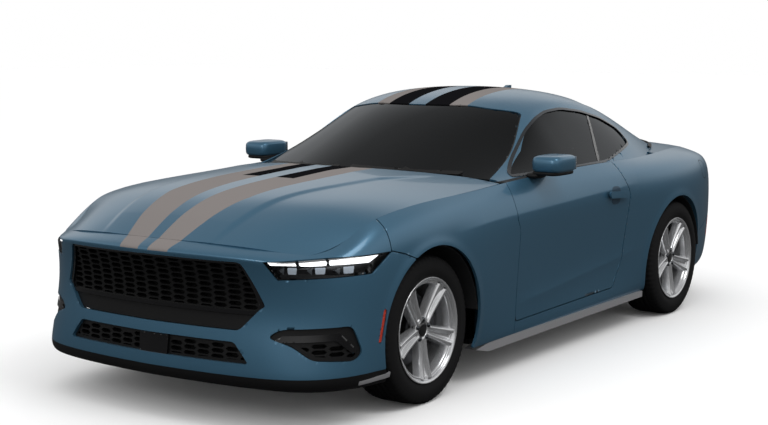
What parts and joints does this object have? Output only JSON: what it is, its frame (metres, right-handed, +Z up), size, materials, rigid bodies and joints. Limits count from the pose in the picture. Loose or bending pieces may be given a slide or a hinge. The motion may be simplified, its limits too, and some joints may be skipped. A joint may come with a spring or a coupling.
{
  "type": "muscle car",
  "caption": "Full-size two-door fastback coupe with a long hood, twin stripes, steered and rolling wheels, and opening doors, hood and decklid.",
  "frame": {"origin": "on the ground, at the middle of the length and of the width", "axes": "+X forward, +Y to the car's left, +Z up"},
  "size_m": [4.793, 2.072, 1.3966],
  "materials": {
    "body_paint": "blue-grey metallic clear coat with grey and black stripes",
    "black_trim": "grained black plastic",
    "silver_trim": "satin silver paint",
    "lamp_lens": "clear lens over a black housing",
    "red_lens": "red lens",
    "amber_lens": "red-amber reflector",
    "tinted_glass": "tinted",
    "bright_wheel": "bright machined",
    "tyre_rubber": "moulded",
    "brake_iron": "turned",
    "chassis_iron": "black coated",
    "engine_metal": "cast",
    "underbody": "sealed",
    "exhaust_steel": "stainless",
    "seat_cloth": "black cloth",
    "dash_plastic": "soft grained"
  },
  "bodies": {
    "body": {"antenna_fin": "body_paint", "body_side_left": "body_paint", "body_side_right": "body_paint", "cowl_panel": "black_trim", "dashboard": "dash_plastic", "deck_panel": "body_paint", "engine": "engine_metal", "exhaust": "exhaust_steel", "fender_left": "body_paint", "fender_right": "body_paint", "floor_tub": "underbody", "front_bumper": "body_paint", "front_lip": "black_trim", "front_seats": "seat_cloth", "front_suspension": "chassis_iron", "grilles": "black_trim", "headlamps": "lamp_lens", "lamp_housings": "black_trim", "quarter_glass": "tinted_glass", "rear_bumper": "body_paint", "rear_diffuser": "black_trim", "rear_seat": "seat_cloth", "rear_suspension": "chassis_iron", "rear_window": "tinted_glass", "roof_panel": "body_paint", "side_markers": "amber_lens", "side_skirts": "silver_trim", "steering_column": "dash_plastic", "tail_lamps": "red_lens", "wheel_liners": "black_trim", "windscreen": "tinted_glass", "wipers": "black_trim"},
    "knuckle_left": {"knuckle_left": "chassis_iron"},
    "knuckle_right": {"knuckle_right": "chassis_iron"},
    "wheel_front_left": {"rim_front_left": "bright_wheel", "tyre_front_left": "tyre_rubber", "brake_disc_front_left": "brake_iron"},
    "wheel_front_right": {"rim_front_right": "bright_wheel", "tyre_front_right": "tyre_rubber", "brake_disc_front_right": "brake_iron"},
    "wheel_rear_left": {"rim_rear_left": "bright_wheel", "tyre_rear_left": "tyre_rubber", "brake_disc_rear_left": "brake_iron"},
    "wheel_rear_right": {"rim_rear_right": "bright_wheel", "tyre_rear_right": "tyre_rubber", "brake_disc_rear_right": "brake_iron"},
    "door_left": {"door_left": "body_paint", "door_glass_left": "tinted_glass", "mirror_left": "body_paint"},
    "door_right": {"door_right": "body_paint", "door_glass_right": "tinted_glass", "mirror_right": "body_paint"},
    "hood": {"hood": "body_paint"},
    "decklid": {"decklid": "body_paint"},
    "steering_wheel": {"steering_wheel": "dash_plastic"}
  },
  "joints": [
    {"name": "steer_left", "type": "hinge", "parent": "body", "child": "knuckle_left", "pos_m": [1.475, 0.715, 0.345], "axis": [0, 0, 1], "range_deg": [-35, 35]},
    {"name": "steer_right", "type": "hinge", "parent": "body", "child": "knuckle_right", "pos_m": [1.475, -0.715, 0.345], "axis": [0, 0, 1], "range_deg": [-35, 35]},
    {"name": "roll_front_left", "type": "hinge", "parent": "knuckle_left", "child": "wheel_front_left", "pos_m": [1.475, 0.791, 0.345], "axis": [0, 1, 0], "continuous": true},
    {"name": "roll_front_right", "type": "hinge", "parent": "knuckle_right", "child": "wheel_front_right", "pos_m": [1.475, -0.791, 0.345], "axis": [0, 1, 0], "continuous": true},
    {"name": "roll_rear_left", "type": "hinge", "parent": "body", "child": "wheel_rear_left", "pos_m": [-1.245, 0.824, 0.345], "axis": [0, 1, 0], "continuous": true},
    {"name": "roll_rear_right", "type": "hinge", "parent": "body", "child": "wheel_rear_right", "pos_m": [-1.245, -0.824, 0.345], "axis": [0, 1, 0], "continuous": true},
    {"name": "door_left_swing", "type": "hinge", "parent": "body", "child": "door_left", "pos_m": [0.62515, 0.868, 0.6], "axis": [0, 0, -1], "range_deg": [0, 65]},
    {"name": "door_right_swing", "type": "hinge", "parent": "body", "child": "door_right", "pos_m": [0.62515, -0.868, 0.6], "axis": [0, 0, 1], "range_deg": [0, 65]},
    {"name": "hood_lift", "type": "hinge", "parent": "body", "child": "hood", "pos_m": [0.87, 0, 0.935], "axis": [0, -1, 0], "range_deg": [0, 50]},
    {"name": "decklid_lift", "type": "hinge", "parent": "body", "child": "decklid", "pos_m": [-1.95421, 0, 0.94], "axis": [0, 1, 0], "range_deg": [0, 75]},
    {"name": "steering_turn", "type": "hinge", "parent": "body", "child": "steering_wheel", "pos_m": [0.19, 0.37, 0.88], "axis": [-0.9272, 0, 0.3746], "range_deg": [-455, 455]}
  ],
  "couplings": [
    {"joint": "steer_right", "follows": "steer_left", "ratio": 1},
    {"joint": "steering_turn", "follows": "steer_left", "ratio": -13}
  ]
}
